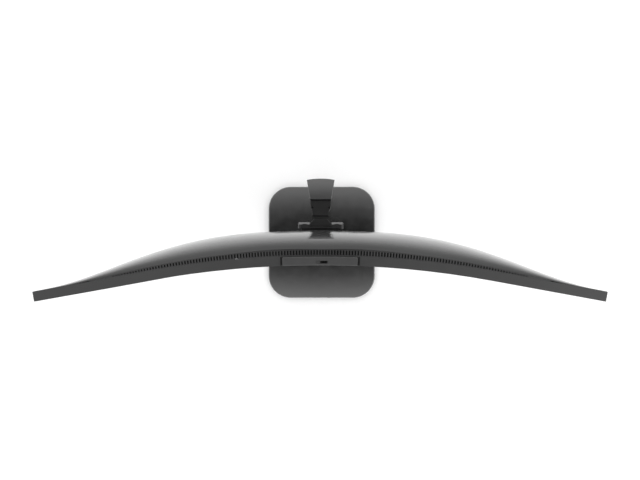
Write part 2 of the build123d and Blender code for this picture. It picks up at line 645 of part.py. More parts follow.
with BuildPart() as release_button:
    block(
        (-BUTTON_HALF, BUTTON_Y[0], PLATE_LOW - 0.5 - RELEASE_TRAVEL),
        (BUTTON_HALF, BUTTON_Y[1], PLATE_LOW + 15.5 - RELEASE_TRAVEL),
    )
    fillet(release_button.edges().filter_by(Axis.Z), 1.0)
release_button.part.label = "release_button"
export_step(release_button.part, "parts/release_button.step")

# ---------------------------------------------------------------- arm and lift carriage
ARM_BACK_Y = COLUMN_FRONT_Y - 0.6
ARM_WAIST_Y = (46.0, 54.0)
ARM_LOW = TILT_Z - 12.0
ARM_HIGH = TILT_Z + 10.0
ARM_FRONT_HALF = 13.7
COVER_THICK = 2.4
CARRIAGE_Y = (72.0, 86.0)
CARRIAGE_Z = (340.0, 412.0)
CARRIAGE_HALF = 9.4
SCREW_X = 13.6
SCREW_Y = 52.5


def arm_outline():
    """Plan of the arm: as wide as the column at the back, narrower at the hinge."""
    with BuildSketch() as outline:
        Polygon(
            (-COLUMN_FRONT_HALF, ARM_BACK_Y),
            (-COLUMN_FRONT_HALF + 0.5, ARM_WAIST_Y[1]),
            (-ARM_FRONT_HALF, ARM_WAIST_Y[0]),
            (-ARM_FRONT_HALF, ARM_FRONT_Y),
            (ARM_FRONT_HALF, ARM_FRONT_Y),
            (ARM_FRONT_HALF, ARM_WAIST_Y[0]),
            (COLUMN_FRONT_HALF - 0.5, ARM_WAIST_Y[1]),
            (COLUMN_FRONT_HALF, ARM_BACK_Y),
            align=None,
        )
    return outline.sketch


with BuildPart() as arm:
    add(arm_outline().moved(Location((0, 0, ARM_LOW))))
    extrude(amount=ARM_HIGH - ARM_LOW)
    block((-KNUCKLE_HALF, TILT_Y, TILT_Z - KNUCKLE_R), (KNUCKLE_HALF, ARM_FRONT_Y + 1, TILT_Z + KNUCKLE_R))
    rod((-KNUCKLE_HALF, TILT_Y, TILT_Z), (1, 0, 0), KNUCKLE_R, 2 * KNUCKLE_HALF)
    rod((-20, TILT_Y, TILT_Z), (1, 0, 0), PIN_R, 40, Mode.SUBTRACT)
    block((-SLOT_HALF + 0.6, ARM_BACK_Y - 1, ARM_LOW + 2), (SLOT_HALF - 0.6, CARRIAGE_Y[0], ARM_HIGH - 2))
    for x in (-SCREW_X, SCREW_X):
        rod((x, SCREW_Y, ARM_HIGH - 8), (0, 0, 1), 1.0, 10, Mode.SUBTRACT)
arm.part.label = "arm"
export_step(arm.part, "parts/arm.step")

with BuildPart() as arm_cover:
    add(arm_outline().moved(Location((0, 0, ARM_HIGH))))
    extrude(amount=COVER_THICK)
    fillet(arm_cover.faces().sort_by(Axis.Z)[-1].edges(), 0.6)
    for x in (-SCREW_X, SCREW_X):
        rod((x, SCREW_Y, ARM_HIGH - 1), (0, 0, 1), 1.1, 10, Mode.SUBTRACT)
        rod((x, SCREW_Y, ARM_HIGH + 1), (0, 0, 1), 1.6, 10, Mode.SUBTRACT)
arm_cover.part.label = "arm_cover"
export_step(arm_cover.part, "parts/arm_cover.step")

with BuildPart() as arm_screws:
    for x in (-SCREW_X, SCREW_X):
        rod((x, SCREW_Y, ARM_HIGH - 7), (0, 0, 1), 1.0, 8)
        rod((x, SCREW_Y, ARM_HIGH + 1), (0, 0, 1), 1.5, 0.9)
arm_screws.part.label = "arm_screws"
export_step(arm_screws.part, "parts/arm_screws.step")

with BuildPart() as tilt_pin:
    rod((-PLATE_HALF + 0.4, TILT_Y, TILT_Z), (1, 0, 0), PIN_R, 2 * PLATE_HALF - 0.8)
    chamfer(tilt_pin.edges().filter_by(GeomType.CIRCLE), 0.5)
tilt_pin.part.label = "tilt_pin"
export_step(tilt_pin.part, "parts/tilt_pin.step")

WASHER_R = 5.0
with BuildPart() as tilt_washers:
    for x in (-NOTCH_HALF + 0.05, KNUCKLE_HALF + 0.05):
        rod((x, TILT_Y, TILT_Z), (1, 0, 0), WASHER_R, 0.3)
        rod((x - 1, TILT_Y, TILT_Z), (1, 0, 0), PIN_R, 3, Mode.SUBTRACT)
tilt_washers.part.label = "tilt_washers"
export_step(tilt_washers.part, "parts/tilt_washers.step")

DRUM_R = 6.0
DRUM_HOLE_R = 3.0
DRUM_Y = CARRIAGE_Y[1] - 8.0
DRUM_Z = 368.0
POCKET_HALF = 8.0
with BuildPart() as lift_carriage:
    block((-CARRIAGE_HALF, CARRIAGE_Y[0], CARRIAGE_Z[0]), (CARRIAGE_HALF, CARRIAGE_Y[1], CARRIAGE_Z[1]))
    block(
        (-POCKET_HALF, CARRIAGE_Y[0] - 1, DRUM_Z - POCKET_HALF),
        (POCKET_HALF, CARRIAGE_Y[1] - 1.6, DRUM_Z + POCKET_HALF),
        Mode.SUBTRACT,
    )
lift_carriage.part.label = "lift_carriage"
export_step(lift_carriage.part, "parts/lift_carriage.step")

with BuildPart() as lift_spring:
    rod((1 - POCKET_HALF, DRUM_Y, DRUM_Z), (1, 0, 0), DRUM_R, 2 * POCKET_HALF - 2)
    rod((-POCKET_HALF, DRUM_Y, DRUM_Z), (1, 0, 0), DRUM_HOLE_R, 2 * POCKET_HALF, Mode.SUBTRACT)
lift_spring.part.label = "lift_spring"
export_step(lift_spring.part, "parts/lift_spring.step")

RAIL_INNER = 12.0
PAD_HEIGHT = 12.0
with BuildPart() as glide_pads:
    for side in (-1, 1):
        for z in (CARRIAGE_Z[0] + 2, CARRIAGE_Z[1] - 2 - PAD_HEIGHT):
            pad = sorted((side * CARRIAGE_HALF, side * (RAIL_INNER - 0.3)))
            block((pad[0], CARRIAGE_Y[0] + 2, z), (pad[1], CARRIAGE_Y[1] - 2, z + PAD_HEIGHT))
glide_pads.part.label = "glide_pads"
export_step(glide_pads.part, "parts/glide_pads.step")

# ---------------------------------------------------------------- column
CABLE_LOW = 84.0
CABLE_HIGH = 128.0
CABLE_HALF = 8.4


def column_outline(inset):
    """Plan of the column: straight sides that widen backwards, and an arched back."""
    rear = COLUMN_REAR_Y - inset
    front = COLUMN_FRONT_Y + inset
    with BuildSketch() as outline:
        with BuildLine():
            ThreePointArc(
                (-COLUMN_REAR_HALF + inset, rear),
                (0, COLUMN_APEX_Y - inset),
                (COLUMN_REAR_HALF - inset, rear),
            )
            Polyline(
                (COLUMN_REAR_HALF - inset, rear),
                (COLUMN_FRONT_HALF - inset, front),
                (-COLUMN_FRONT_HALF + inset, front),
                (-COLUMN_REAR_HALF + inset, rear),
            )
        make_face()
    return outline.sketch


def column_prism(inset, low, high, mode=Mode.ADD):
    """An upright prism with the column's plan."""
    extrude(column_outline(inset).moved(Location((0, 0, low))), amount=high - low, mode=mode)


SPLIT_Y = 69.0          # between the column's two shells
REACH = 30.0            # cutting bodies reach so far to each side
CABLE_Y = (60.0, 110.0)
with BuildPart() as column_rear_shell:
    column_prism(0, COLUMN_BOTTOM, COLUMN_TOP)
    column_prism(COLUMN_WALL, COLUMN_BOTTOM - 1, COLUMN_TOP + 1, Mode.SUBTRACT)
    block((-REACH, CABLE_Y[0], 0), (REACH, SPLIT_Y, COLUMN_TOP + 1), Mode.SUBTRACT)
    block((-CABLE_HALF, SWIVEL_Y, CABLE_LOW), (CABLE_HALF, CABLE_Y[1], CABLE_HIGH), Mode.SUBTRACT)
column_rear_shell.part.label = "column_rear_shell"
export_step(column_rear_shell.part, "parts/column_rear_shell.step")

NECK_LOW = ARM_LOW - TRAVEL - 4.0
with BuildPart() as column_front_cover:
    column_prism(0, COLUMN_BOTTOM, COLUMN_TOP)
    block((-REACH, SPLIT_Y - 0.1, 0), (REACH, CABLE_Y[1], COLUMN_TOP + 1), Mode.SUBTRACT)
    block((-SLOT_HALF, CABLE_Y[0], NECK_LOW), (SLOT_HALF, SWIVEL_Y, COLUMN_TOP + 1), Mode.SUBTRACT)
    block((-CABLE_HALF, CABLE_Y[0], CABLE_LOW), (CABLE_HALF, SWIVEL_Y, CABLE_HIGH), Mode.SUBTRACT)
column_front_cover.part.label = "column_front_cover"
export_step(column_front_cover.part, "parts/column_front_cover.step")

with BuildPart() as column_top_cap:
    column_prism(0, COLUMN_TOP + 0.1, CAP_TOP)
    rod((-REACH, CAP_CREST_Y, CAP_TOP - CAP_ROUND_R), (1, 0, 0), CAP_ROUND_R, 2 * REACH, Mode.INTERSECT)
    fillet(column_top_cap.faces().sort_by(Axis.Z)[-1].edges(), 0.4)
column_top_cap.part.label = "column_top_cap"
export_step(column_top_cap.part, "parts/column_top_cap.step")

RAIL_Y = (73.0, 90.0)
RAIL_Z = (150.0, 414.0)
RAIL_SHEET = 1.4
with BuildPart() as lift_rail:
    block((-RAIL_INNER - RAIL_SHEET, RAIL_Y[0], RAIL_Z[0]), (RAIL_INNER + RAIL_SHEET, RAIL_Y[1], RAIL_Z[1]))
    block(
        (-RAIL_INNER, RAIL_Y[0] - 1, RAIL_Z[0] - 1),
        (RAIL_INNER, RAIL_Y[1] - RAIL_SHEET, RAIL_Z[1] + 1),
        Mode.SUBTRACT,
    )
lift_rail.part.label = "lift_rail"
export_step(lift_rail.part, "parts/lift_rail.step")

# Lining of the cable hole that goes right through the column.
GROMMET_WALL = 1.5
with BuildPart() as cable_grommet:
    block(
        (-CABLE_HALF + 0.1, COLUMN_FRONT_Y - 0.6, CABLE_LOW + 0.1),
        (CABLE_HALF - 0.1, COLUMN_APEX_Y + 0.4, CABLE_HIGH - 0.1),
    )
    fillet(cable_grommet.edges().filter_by(Axis.Y), 3)
    block(
        (-CABLE_HALF + 0.1 + GROMMET_WALL, CABLE_Y[0], CABLE_LOW + 0.1 + GROMMET_WALL),
        (CABLE_HALF - 0.1 - GROMMET_WALL, CABLE_Y[1], CABLE_HIGH - 0.1 - GROMMET_WALL),
        Mode.SUBTRACT,
    )
cable_grommet.part.label = "cable_grommet"
export_step(cable_grommet.part, "parts/cable_grommet.step")

FOOT_TOP = 40.0
SHAFT_R = 8.0
SHAFT_LOW = 5.6
SCREW_R = 3.0           # of the screw that holds the column to the base
SCREW_LOW = 3.0
SCREW_LENGTH = 22.0
KNOB_R = 11.0
KNOB_THICK = 2.5
FLANGE_R = 15.4
HUB_TOP = 10.4
WASHER_THICK = 0.75
FLANGE_Z = HUB_TOP + WASHER_THICK + 0.05
with BuildPart() as column_foot:
    column_prism(COLUMN_WALL + 1.2, COLUMN_BOTTOM, FOOT_TOP)
    block((-REACH, CABLE_Y[0], 0), (REACH, SPLIT_Y, FOOT_TOP + 1), Mode.SUBTRACT)
    rod((0, SWIVEL_Y, FLANGE_Z), (0, 0, 1), FLANGE_R, COLUMN_BOTTOM - FLANGE_Z)
    rod((0, SWIVEL_Y, SHAFT_LOW), (0, 0, 1), SHAFT_R, COLUMN_BOTTOM - SHAFT_LOW)
    rod((0, SWIVEL_Y, 0), (0, 0, 1), SCREW_R, SCREW_LENGTH + 4, Mode.SUBTRACT)
column_foot.part.label = "column_foot"
export_step(column_foot.part, "parts/column_foot.step")

with BuildPart() as thumb_screw:
    rod((0, SWIVEL_Y, SCREW_LOW), (0, 0, 1), KNOB_R, KNOB_THICK)
    rod((0, SWIVEL_Y, SCREW_LOW), (0, 0, 1), SCREW_R, SCREW_LENGTH)
    block((-8, SWIVEL_Y - 0.8, SCREW_LOW - 1), (8, SWIVEL_Y + 0.8, SCREW_LOW + 1.2), Mode.SUBTRACT)
thumb_screw.part.label = "thumb_screw"
export_step(thumb_screw.part, "parts/thumb_screw.step")

# ---------------------------------------------------------------- base
HUB_R = 21.0
PLATE_TOP = 7.0         # of the steel plate inside the base

with BuildPart() as swivel_hub:
    rod((0, SWIVEL_Y, FOOT_HEIGHT), (0, 0, 1), HUB_R, PLATE_TOP - FOOT_HEIGHT)
    rod((0, SWIVEL_Y, FOOT_HEIGHT), (0, 0, 1), FLANGE_R, HUB_TOP - FOOT_HEIGHT)
    rod((0, SWIVEL_Y, 0), (0, 0, 1), SHAFT_R + RUNNING, 20, Mode.SUBTRACT)
    rod((0, SWIVEL_Y, 0), (0, 0, 1), KNOB_R + 1, SHAFT_LOW + 0.3, Mode.SUBTRACT)
swivel_hub.part.label = "swivel_hub"
export_step(swivel_hub.part, "parts/swivel_hub.step")

with BuildPart() as swivel_washer:
    rod((0, SWIVEL_Y, HUB_TOP), (0, 0, 1), FLANGE_R - 0.8, WASHER_THICK)
    rod((0, SWIVEL_Y, HUB_TOP - 1), (0, 0, 1), SHAFT_R + 0.3, 3, Mode.SUBTRACT)
swivel_washer.part.label = "swivel_washer"
export_step(swivel_washer.part, "parts/swivel_washer.step")

COVER_WALL = 3.0
with BuildPart() as base_cover:
    with BuildSketch(Plane.XY.offset(FOOT_HEIGHT)):
        RectangleRounded(BASE_X, BASE_Y, BASE_CORNER)
    extrude(amount=BASE_TOP - FOOT_HEIGHT)
    rod((-BASE_X, 0, BASE_TOP - CROWN_R), (1, 0, 0), CROWN_R, 2 * BASE_X, Mode.INTERSECT)
    fillet(base_cover.faces().sort_by(Axis.Z)[-1].edges(), 2.0)
    with BuildSketch(Plane.XY.offset(FOOT_HEIGHT)):
        RectangleRounded(BASE_X - 2 * COVER_WALL, BASE_Y - 2 * COVER_WALL, BASE_CORNER - COVER_WALL)
    extrude(amount=PLATE_TOP - FOOT_HEIGHT, mode=Mode.SUBTRACT)
    rod((0, SWIVEL_Y, 0), (0, 0, 1), FLANGE_R + 0.4, 20, Mode.SUBTRACT)
base_cover.part.label = "base_cover"
export_step(base_cover.part, "parts/base_cover.step")

with BuildPart() as base_plate:
    with BuildSketch(Plane.XY.offset(FOOT_HEIGHT)):
        inset = COVER_WALL + 0.5
        RectangleRounded(BASE_X - 2 * inset, BASE_Y - 2 * inset, BASE_CORNER - inset)
    extrude(amount=PLATE_TOP - FOOT_HEIGHT - 0.1)
    rod((0, SWIVEL_Y, 0), (0, 0, 1), HUB_R + 0.1, 20, Mode.SUBTRACT)
base_plate.part.label = "base_plate"
export_step(base_plate.part, "parts/base_plate.step")

FOOT_R = 9.0
FEET = [(-82, -88), (82, -88), (-82, 88), (82, 88), (0, -96)]
with BuildPart() as base_feet:
    for x, y in FEET:
        rod((x, y, 0), (0, 0, 1), FOOT_R, FOOT_HEIGHT)
base_feet.part.label = "base_feet"
export_step(base_feet.part, "parts/base_feet.step")
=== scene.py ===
"""Looks of the curved monitor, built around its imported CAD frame. Metres, +Z up, the screen faces -Y."""
import json
import math

import bmesh
import bpy
from mathutils import Matrix, Vector


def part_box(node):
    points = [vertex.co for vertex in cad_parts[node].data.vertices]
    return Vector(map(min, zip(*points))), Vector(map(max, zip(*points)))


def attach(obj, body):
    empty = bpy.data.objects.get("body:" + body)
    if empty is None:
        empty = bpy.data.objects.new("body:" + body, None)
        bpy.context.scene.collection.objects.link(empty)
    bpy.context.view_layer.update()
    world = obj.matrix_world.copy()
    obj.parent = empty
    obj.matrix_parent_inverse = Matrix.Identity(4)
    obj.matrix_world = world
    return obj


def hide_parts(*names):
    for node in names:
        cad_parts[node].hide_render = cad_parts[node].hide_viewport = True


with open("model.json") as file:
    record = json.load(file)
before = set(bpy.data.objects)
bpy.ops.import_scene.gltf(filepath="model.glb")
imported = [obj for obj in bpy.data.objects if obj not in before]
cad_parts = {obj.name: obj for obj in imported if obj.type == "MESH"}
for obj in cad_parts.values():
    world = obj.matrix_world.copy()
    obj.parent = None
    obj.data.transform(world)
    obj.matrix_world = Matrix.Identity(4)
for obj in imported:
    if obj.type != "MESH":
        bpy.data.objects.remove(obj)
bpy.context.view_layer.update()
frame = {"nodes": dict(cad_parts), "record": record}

NODES = frame["nodes"]
SLOT_OF = {part["node"]: part["material_slot"] for part in frame["record"]["subparts"]}

# ---------------------------------------------------------------- the head's plan, as in the CAD
FRONT_Y = -0.038
FRONT_RADIUS = 1.344
ARC_X = 0.242
ARC_ANGLE = math.asin(ARC_X / FRONT_RADIUS)
ARC_HALF = FRONT_RADIUS * ARC_ANGLE
HALF = ARC_HALF + 0.1632


def plan_point(along, depth):
    """Plan position of a point that far along the screen's front face and that far behind it."""
    turn = min(abs(along), ARC_HALF) / FRONT_RADIUS
    straight = max(abs(along) - ARC_HALF, 0.0)
    radius = FRONT_RADIUS + depth
    x = radius * math.sin(turn) + straight * math.cos(turn)
    y = FRONT_Y - FRONT_RADIUS + radius * math.cos(turn) - straight * math.sin(turn)
    return math.copysign(x, along), y


# ---------------------------------------------------------------- materials
def new_material(name):
    """A material with its shader, its object coordinates and its node tree."""
    material = bpy.data.materials.new(name)
    material.use_nodes = True
    tree = material.node_tree
    shader = tree.nodes["Principled BSDF"]
    place = tree.nodes.new("ShaderNodeTexCoord")
    return material, tree, shader, place.outputs["Object"]


def noise(tree, place, scale, detail=2.0, stretch=(1, 1, 1)):
    """Noise of so many grains a metre, stretched along the axes."""
    mapping = tree.nodes.new("ShaderNodeMapping")
    mapping.inputs["Scale"].default_value = stretch
    tree.links.new(place, mapping.inputs["Vector"])
    node = tree.nodes.new("ShaderNodeTexNoise")
    node.inputs["Scale"].default_value = scale
    node.inputs["Detail"].default_value = detail
    tree.links.new(mapping.outputs["Vector"], node.inputs["Vector"])
    return node.outputs["Fac"]


def map_range(tree, value, source, target):
    """Maps a value from one range to another."""
    node = tree.nodes.new("ShaderNodeMapRange")
    node.inputs["From Min"].default_value, node.inputs["From Max"].default_value = source
    node.inputs["To Min"].default_value, node.inputs["To Max"].default_value = target
    tree.links.new(value, node.inputs["Value"])
    return node.outputs["Result"]


def spread(tree, value, low, high):
    """Maps a noise value's middle range to low..high."""
    return map_range(tree, value, (0.3, 0.7), (low, high))


def two_tone(tree, value, dark, light):
    """A colour that runs between two tones with a noise value."""
    node = tree.nodes.new("ShaderNodeValToRGB")
    node.color_ramp.elements[0].position = 0.3
    node.color_ramp.elements[1].position = 0.7
    node.color_ramp.elements[0].color = (*dark, 1)
    node.color_ramp.elements[1].color = (*light, 1)
    tree.links.new(value, node.inputs["Fac"])
    return node.outputs["Color"]


def bump(tree, shader, height, depth):
    """Bumps of that depth in metres."""
    node = tree.nodes.new("ShaderNodeBump")
    node.inputs["Strength"].default_value = 1.0
    node.inputs["Distance"].default_value = depth
    tree.links.new(height, node.inputs["Height"])
    tree.links.new(node.outputs["Normal"], shader.inputs["Normal"])


def grey(value, warmth=0.0):
    """A near-neutral grey."""
    return (value * (1 + warmth), value, value * (1 - warmth))


def moulded(name, tone, roughness, grain=2200, depth=0.00003, vary=0.08, specular=0.5, ior=1.5):
    """Moulded plastic: fine spark-eroded grain, with slow changes of tone and gloss."""
    material, tree, shader, place = new_material(name)
    slow = noise(tree, place, 9.0, 3.0)
    tones = two_tone(tree, slow, grey(tone * (1 - vary)), grey(tone * (1 + vary)))
    tree.links.new(tones, shader.inputs["Base Color"])
    cloudy = noise(tree, place, 60.0, 4.0)
    tree.links.new(spread(tree, cloudy, roughness - 0.03, roughness + 0.03), shader.inputs["Roughness"])
    shader.inputs["Specular IOR Level"].default_value = specular
    shader.inputs["IOR"].default_value = ior
    bump(tree, shader, noise(tree, place, grain, 2.0), depth)
    return material


def metal(name, tone, roughness, stretch=(1, 1, 1), vary=0.06):
    """Bare or plated metal with a faint drawn grain."""
    material, tree, shader, place = new_material(name)
    streaks = noise(tree, place, 400.0, 3.0, stretch)
    tones = two_tone(tree, streaks, grey(tone * (1 - vary)), grey(tone * (1 + vary)))
    tree.links.new(tones, shader.inputs["Base Color"])
    tree.links.new(spread(tree, streaks, roughness - 0.05, roughness + 0.05), shader.inputs["Roughness"])
    shader.inputs["Metallic"].default_value = 1.0
    bump(tree, shader, streaks, 0.00001)
    return material


def coated(name, tone, roughness, specular=0.35):
    """Powder-coated metal: a fine orange-peel surface."""
    return moulded(name, tone, roughness, grain=900, depth=0.00005, vary=0.1, specular=specular)


def clear_plastic(name, colour, transmission):
    """Clear or tinted plastic and glass, with faint handling marks in its gloss."""
    material, tree, shader, place = new_material(name)
    marks = noise(tree, place, 40.0, 4.0)
    tones = two_tone(tree, marks, tuple(0.94 * c for c in colour), colour)
    tree.links.new(tones, shader.inputs["Base Color"])
    tree.links.new(spread(tree, marks, 0.03, 0.09), shader.inputs["Roughness"])
    shader.inputs["Transmission Weight"].default_value = transmission
    return material


def within(tree, value, limit):
    """1 where a coordinate lies within a reach of a middle value, else 0."""
    middle, reach = limit
    node = tree.nodes.new("ShaderNodeMath")
    node.operation = "COMPARE"
    node.inputs[1].default_value = middle
    node.inputs[2].default_value = reach
    tree.links.new(value, node.inputs[0])
    return node.outputs["Value"]


def screen_surface(name):
    """Anti-glare screen: nearly black, finely etched, with a blacker rim round the picture area."""
    material, tree, shader, place = new_material(name)
    slow = noise(tree, place, 4.0, 2.0)
    tones = two_tone(tree, slow, (0.011, 0.011, 0.013), (0.014, 0.014, 0.016))
    split = tree.nodes.new("ShaderNodeSeparateXYZ")
    tree.links.new(place, split.inputs["Vector"])
    low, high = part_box("lcd_glass")
    side_rim, top_rim = 0.0045, 0.003
    across = within(tree, split.outputs["X"], (0, high[0] - side_rim))
    up = within(tree, split.outputs["Z"], ((low[2] + high[2]) / 2, (high[2] - low[2]) / 2 - top_rim))
    inside = tree.nodes.new("ShaderNodeMath")
    inside.operation = "MULTIPLY"
    tree.links.new(across, inside.inputs[0])
    tree.links.new(up, inside.inputs[1])
    mix = tree.nodes.new("ShaderNodeMix")
    mix.data_type = "RGBA"
    mix.inputs["A"].default_value = (0.004, 0.004, 0.004, 1)
    tree.links.new(inside.outputs["Value"], mix.inputs["Factor"])
    tree.links.new(tones, mix.inputs["B"])
    tree.links.new(mix.outputs["Result"], shader.inputs["Base Color"])
    tree.links.new(spread(tree, slow, 0.22, 0.26), shader.inputs["Roughness"])
    shader.inputs["Coat Weight"].default_value = 0.15
    shader.inputs["Coat Roughness"].default_value = 0.3
    bump(tree, shader, noise(tree, place, 6000.0, 1.0), 0.000004)
    return material


def board(name):
    """Circuit board: solder resist over faint tracks."""
    material, tree, shader, place = new_material(name)
    tracks = noise(tree, place, 300.0, 1.0, (1, 1, 6))
    tones = two_tone(tree, tracks, (0.015, 0.10, 0.035), (0.03, 0.17, 0.06))
    tree.links.new(tones, shader.inputs["Base Color"])
    tree.links.new(spread(tree, tracks, 0.3, 0.45), shader.inputs["Roughness"])
    bump(tree, shader, tracks, 0.00003)
    return material


MATERIALS = {
    "frame_plastic": moulded("frame_plastic", 0.025, 0.33),
    "cover_plastic": moulded("cover_plastic", 0.036, 0.12, grain=1500, depth=0.000006, vary=0.05, ior=1.42),
    "vent_plastic": moulded("vent_plastic", 0.036, 0.3),
    "webcam_plastic": moulded("webcam_plastic", 0.042, 0.25),
    "button_plastic": moulded("button_plastic", 0.030, 0.35),
    "stand_plastic": moulded("stand_plastic", 0.005, 0.12, grain=2600, depth=0.000003, vary=0.12, ior=2.25),
    "arm_plastic": moulded("arm_plastic", 0.008, 0.3, specular=0.35),
    "arm_metal": coated("arm_metal", 0.006, 0.4),
    "plate_metal": coated("plate_metal", 0.018, 0.25),
    "steel_dark": coated("steel_dark", 0.03, 0.5),
    "steel_bright": metal("steel_bright", 0.3, 0.36, (1, 1, 12)),
    "screw_black": metal("screw_black", 0.012, 0.5),
    "slide_plastic": moulded("slide_plastic", 0.6, 0.45),
    "foot_rubber": moulded("foot_rubber", 0.004, 0.8, grain=700, depth=0.0001, specular=0.3),
    "screen_glass": screen_surface("screen_glass"),
    "window_glass": clear_plastic("window_glass", (0.02, 0.02, 0.022), 0.3),
    "lens_glass": clear_plastic("lens_glass", (0.25, 0.22, 0.4), 0.5),
    "film_white": moulded("film_white", 0.8, 0.5),
    "guide_clear": clear_plastic("guide_clear", (0.85, 0.88, 0.88), 0.9),
    "led_clear": clear_plastic("led_clear", (0.8, 0.85, 0.9), 0.7),
    "board_green": board("board_green"),
    "speaker_black": moulded("speaker_black", 0.010, 0.7),
    "port_metal": metal("port_metal", 0.55, 0.35),
}

for name, node in NODES.items():
    node.data.materials.clear()
    node.data.materials.append(MATERIALS[SLOT_OF[name]])

# ---------------------------------------------------------------- building pieces
def piece(name, shape, body, slot, sharp=0.6):
    """Turns a bmesh into a piece that rides on a body, in the material of a slot."""
    bmesh.ops.recalc_face_normals(shape, faces=shape.faces)
    mesh = bpy.data.meshes.new(name)
    shape.to_mesh(mesh)
    shape.free()
    for polygon in mesh.polygons:
        polygon.use_smooth = True
    mesh.set_sharp_from_angle(angle=sharp)
    mesh.materials.append(MATERIALS[slot])
    made = bpy.data.objects.new(name, mesh)
    bpy.context.scene.collection.objects.link(made)
    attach(made, body)
    return made


def skin(shape, rings):
    """Joins closed rings of points one after another, and closes both ends."""
    rows = [[shape.verts.new(point) for point in ring] for ring in rings]
    for lower, upper in zip(rows, rows[1:]):
        for i in range(len(lower)):
            j = (i + 1) % len(lower)
            shape.faces.new((lower[i], lower[j], upper[j], upper[i]))
    shape.faces.new(rows[0][::-1])
    shape.faces.new(rows[-1])


def swept(shape, section, start, stop, steps):
    """Sweeps an outline of (depth, height) points along the screen's curve."""
    alongs = [start + (stop - start) * i / steps for i in range(steps + 1)]
    skin(shape, [[(*plan_point(along, depth), height) for depth, height in section] for along in alongs])


def rounded(low, high, radius, steps=3):
    """A rectangle between two corners with rounded corners, as points."""
    points = []
    corners = ((high[0], high[1], 0), (low[0], high[1], 1), (low[0], low[1], 2), (high[0], low[1], 3))
    for x, y, quarter in corners:
        middle_x = x + math.copysign(radius, low[0] + high[0] - 2 * x)
        middle_y = y + math.copysign(radius, low[1] + high[1] - 2 * y)
        for i in range(steps + 1):
            angle = (quarter + i / steps) * math.pi / 2
            points.append((middle_x + radius * math.cos(angle), middle_y + radius * math.sin(angle)))
    return points


def lathe(shape, profile, centre, axis="Z", steps=48, flutes=0, cut=0.0):
    """Turns (radius, height) points about an axis through a centre. Flutes notch the outermost radius."""
    quarters = {"Z": 0, "Y": -1, "-Y": 1}[axis]
    turned = Matrix.Rotation(quarters * math.pi / 2, 4, "X") if quarters else Matrix()
    place = Matrix.Translation(centre) @ turned
    widest = max(radius for radius, height in profile)
    rings = []
    for radius, height in profile:
        ring = []
        for i in range(steps):
            angle = 2 * math.pi * i / steps
            notch = cut * (0.5 - 0.5 * math.cos(flutes * angle)) if radius > 0.9 * widest else 0.0
            reach = radius - notch
            ring.append(place @ Vector((reach * math.cos(angle), reach * math.sin(angle), height)))
        rings.append(ring)
    skin(shape, rings)


def block(shape, low, high, edge=0.0):
    """A box between two corners with softened edges."""
    low, high = Vector(low), Vector(high)
    place = Matrix.Translation((low + high) / 2) @ Matrix.Diagonal((*(high - low), 1))
    made = bmesh.ops.create_cube(shape, size=1.0, matrix=place)
    if edge:
        edges = list({e for vert in made["verts"] for e in vert.link_edges})
        bmesh.ops.bevel(shape, geom=edges, offset=edge, segments=2, profile=0.5, affect="EDGES")


def carve(made, cutter):
    """Cuts one bmesh shape out of a piece for good."""
    mesh = bpy.data.meshes.new("cutter")
    bmesh.ops.recalc_face_normals(cutter, faces=cutter.faces)
    cutter.to_mesh(mesh)
    cutter.free()
    tool = bpy.data.objects.new("cutter", mesh)
    bpy.context.scene.collection.objects.link(tool)
    cut = made.modifiers.new("cut", "BOOLEAN")
    cut.operation = "DIFFERENCE"
    cut.solver = "EXACT"
    cut.object = tool
    result = bpy.data.meshes.new_from_object(made.evaluated_get(bpy.context.evaluated_depsgraph_get()))
    if not result.polygons:
        raise RuntimeError("nothing is left of " + made.name)
    made.modifiers.clear()
    made.data = result
    result.name = made.name
    bpy.data.objects.remove(tool)
    result.set_sharp_from_angle(angle=0.6)


# ---------------------------------------------------------------- head pieces
BAND = 0.014            # depth of the frame seen from above
VENT_GAP = 0.0004
VENT_DEPTH = 0.008
VENT_HALF = 0.345
VENT_TAPER = 2.4
# Thickness and steps of the black sheet of painted shade under the vent slots.
SHADE_SHEET_THICK = 0.0005
SHADE_SHEET_STEPS = 64
CAM_FACE = 0.0005       # the webcam's window stands this far behind the front face
CAM_HALF = 0.052
TAB_Y = -0.0334


def vent_depth(along):
    """Depth behind the front face where the vent channel ends."""
    return BAND + VENT_GAP + VENT_DEPTH * max(0.0, 1 - (abs(along) / VENT_HALF) ** VENT_TAPER)


def make_vent_shade_sheet():
    """Black sheet under the slotted strip: painted shade that makes the vent slots read black."""
    shape = bmesh.new()
    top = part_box("vent_strip")[0][2] - 0.0003
    rings = []
    for i in range(-SHADE_SHEET_STEPS, SHADE_SHEET_STEPS + 1):
        along = 0.94 * VENT_HALF * i / SHADE_SHEET_STEPS
        front, rear = BAND + 0.0003, vent_depth(along) - 0.0005
        corners = ((front, top - SHADE_SHEET_THICK), (rear, top - SHADE_SHEET_THICK), (rear, top), (front, top))
        rings.append([(*plan_point(along, depth), height) for depth, height in corners])
    skin(shape, rings)
    piece("vent_shade_sheet", shape, "head", "foot_rubber")


def make_webcam_end_shade():
    """Black strips on the frame at both ends of the webcam block: painted shadow where the raised block
    stands on the frame.
    """
    shape = bmesh.new()
    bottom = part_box("webcam_housing")[0][2]
    top = bottom + 0.0007
    outline = rounded((0.0008, bottom), (0.0128, top), 0.0003)
    for side in (-1, 1):
        start, stop = sorted((side * (CAM_HALF + 0.0001), side * (CAM_HALF + 0.0036)))
        swept(shape, outline, start, stop, 2)
    piece("webcam_end_shade", shape, "head", "foot_rubber")


